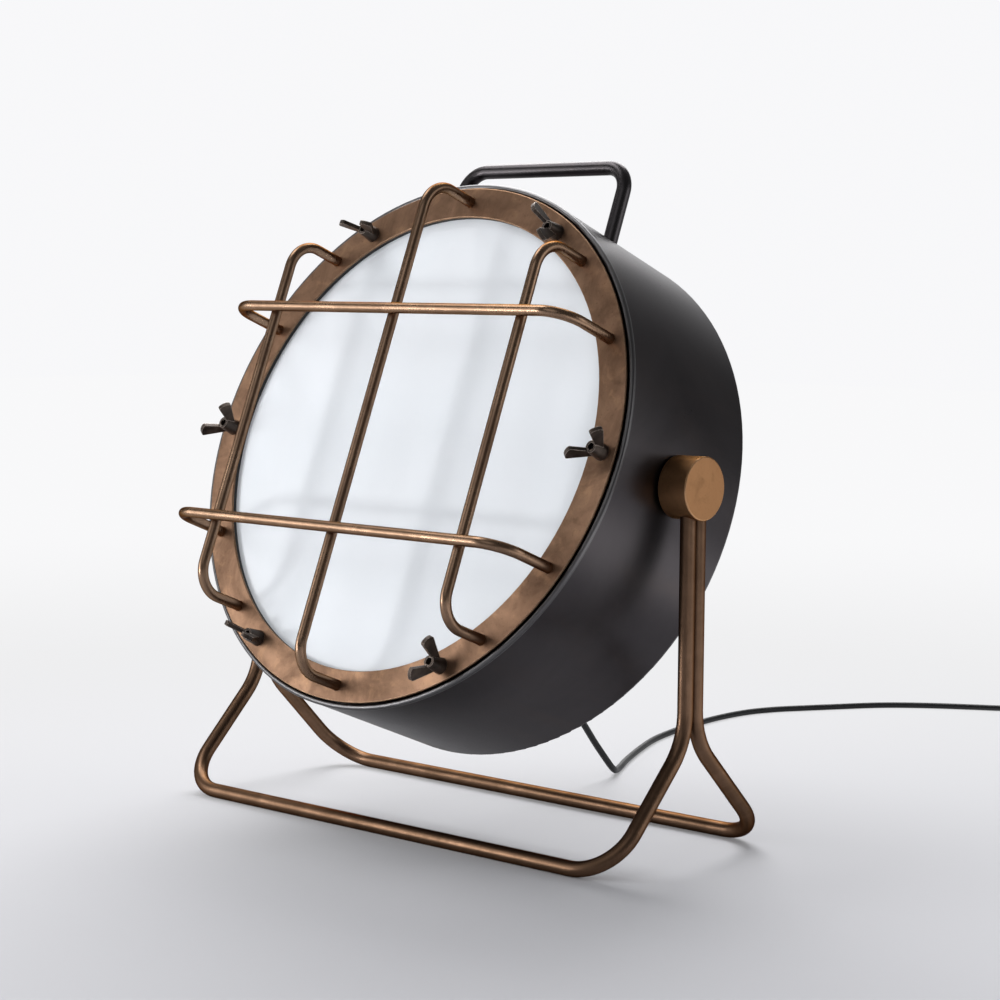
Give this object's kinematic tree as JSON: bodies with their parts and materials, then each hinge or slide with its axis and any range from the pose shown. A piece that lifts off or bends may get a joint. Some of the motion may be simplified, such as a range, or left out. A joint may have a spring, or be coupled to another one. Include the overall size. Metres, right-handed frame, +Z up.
{
  "type": "outdoor floor lamp",
  "caption": "Drum floodlight with an opal lens behind a rod guard, tilting in a bent-tube floor stand, with a carrying handle and a coiled mains cord.",
  "frame": {"origin": "on the floor, straight below the middle of the tilt axis", "axes": "+X along the tilt axis, +Y towards the back, +Z up; the lamp faces -Y"},
  "size_m": [0.576, 1.1777, 0.6256],
  "materials": {
    "charcoal": "satin charcoal paint",
    "bronze": "aged bronze, brushed",
    "dark_bronze": "dark aged bronze",
    "opal": "opal, gloss",
    "gasket_rubber": "matte",
    "steel": "zinc plated",
    "white_enamel": "white enamel",
    "ceramic": "glazed ceramic",
    "bulb_glass": "opal glass",
    "black_plastic": "matte",
    "cord_rubber": "semi-matte",
    "lead_insulation": "matte"
  },
  "bodies": {
    "stand": {"stand_front_tube": "bronze", "stand_rear_tube": "bronze", "pivot_hub_left": "bronze", "pivot_hub_right": "bronze", "pivot_bolt_left": "steel", "pivot_bolt_right": "steel", "friction_washer_left": "black_plastic", "friction_washer_right": "black_plastic", "thrust_washer_left": "steel", "thrust_washer_right": "steel", "cord_drop": "cord_rubber", "cord_floor": "cord_rubber", "cord_coil": "cord_rubber", "cord_tail": "cord_rubber", "cord_tie": "black_plastic", "plug_body": "cord_rubber", "plug_pins": "steel", "plug_earth_clips": "steel"},
    "head": {"drum_shell": "charcoal", "seat_ring": "charcoal", "ring_studs": "dark_bronze", "lens_gasket_rear": "gasket_rubber", "lens": "opal", "lens_gasket_front": "gasket_rubber", "front_ring": "bronze", "guard_rod_centre": "bronze", "guard_rod_left": "bronze", "guard_rod_right": "bronze", "guard_rod_upper": "bronze", "guard_rod_lower": "bronze", "handle": "charcoal", "pivot_boss_left": "steel", "pivot_boss_right": "steel", "reflector": "white_enamel", "reflector_screws": "steel", "holder_plate": "steel", "plate_screws": "steel", "lamp_holder": "ceramic", "bulb_cap": "steel", "bulb_globe": "bulb_glass", "terminal_block": "ceramic", "inner_cord": "cord_rubber", "holder_lead_left": "lead_insulation", "holder_lead_right": "lead_insulation", "gland_body": "black_plastic", "gland_lock_nut": "black_plastic", "gland_dome_nut": "black_plastic", "cord_sleeve": "cord_rubber"},
    "nut_1": {"wing_nut_1": "dark_bronze"},
    "nut_2": {"wing_nut_2": "dark_bronze"},
    "nut_3": {"wing_nut_3": "dark_bronze"},
    "nut_4": {"wing_nut_4": "dark_bronze"},
    "nut_5": {"wing_nut_5": "dark_bronze"},
    "nut_6": {"wing_nut_6": "dark_bronze"}
  },
  "joints": [
    {"name": "head_tilt", "type": "hinge", "parent": "stand", "child": "head", "pos_m": [0, 0, 0.3325], "axis": [1, 0, 0], "range_deg": [-68.5, 51.5], "deforming": ["cord_drop"]},
    {"name": "nut_1_turn", "type": "hinge", "parent": "head", "child": "nut_1", "pos_m": [0.2356, -0.07722, 0.36485], "axis": [0, -0.9304, 0.3665], "continuous": true},
    {"name": "nut_2_turn", "type": "hinge", "parent": "head", "child": "nut_2", "pos_m": [0.1178, -0.00244, 0.55469], "axis": [0, -0.9304, 0.3665], "continuous": true},
    {"name": "nut_3_turn", "type": "hinge", "parent": "head", "child": "nut_3", "pos_m": [-0.1178, -0.00244, 0.55469], "axis": [0, -0.9304, 0.3665], "continuous": true},
    {"name": "nut_4_turn", "type": "hinge", "parent": "head", "child": "nut_4", "pos_m": [-0.2356, -0.07722, 0.36485], "axis": [0, -0.9304, 0.3665], "continuous": true},
    {"name": "nut_5_turn", "type": "hinge", "parent": "head", "child": "nut_5", "pos_m": [-0.1178, -0.152, 0.17501], "axis": [0, -0.9304, 0.3665], "continuous": true},
    {"name": "nut_6_turn", "type": "hinge", "parent": "head", "child": "nut_6", "pos_m": [0.1178, -0.152, 0.17501], "axis": [0, -0.9304, 0.3665], "continuous": true}
  ]
}
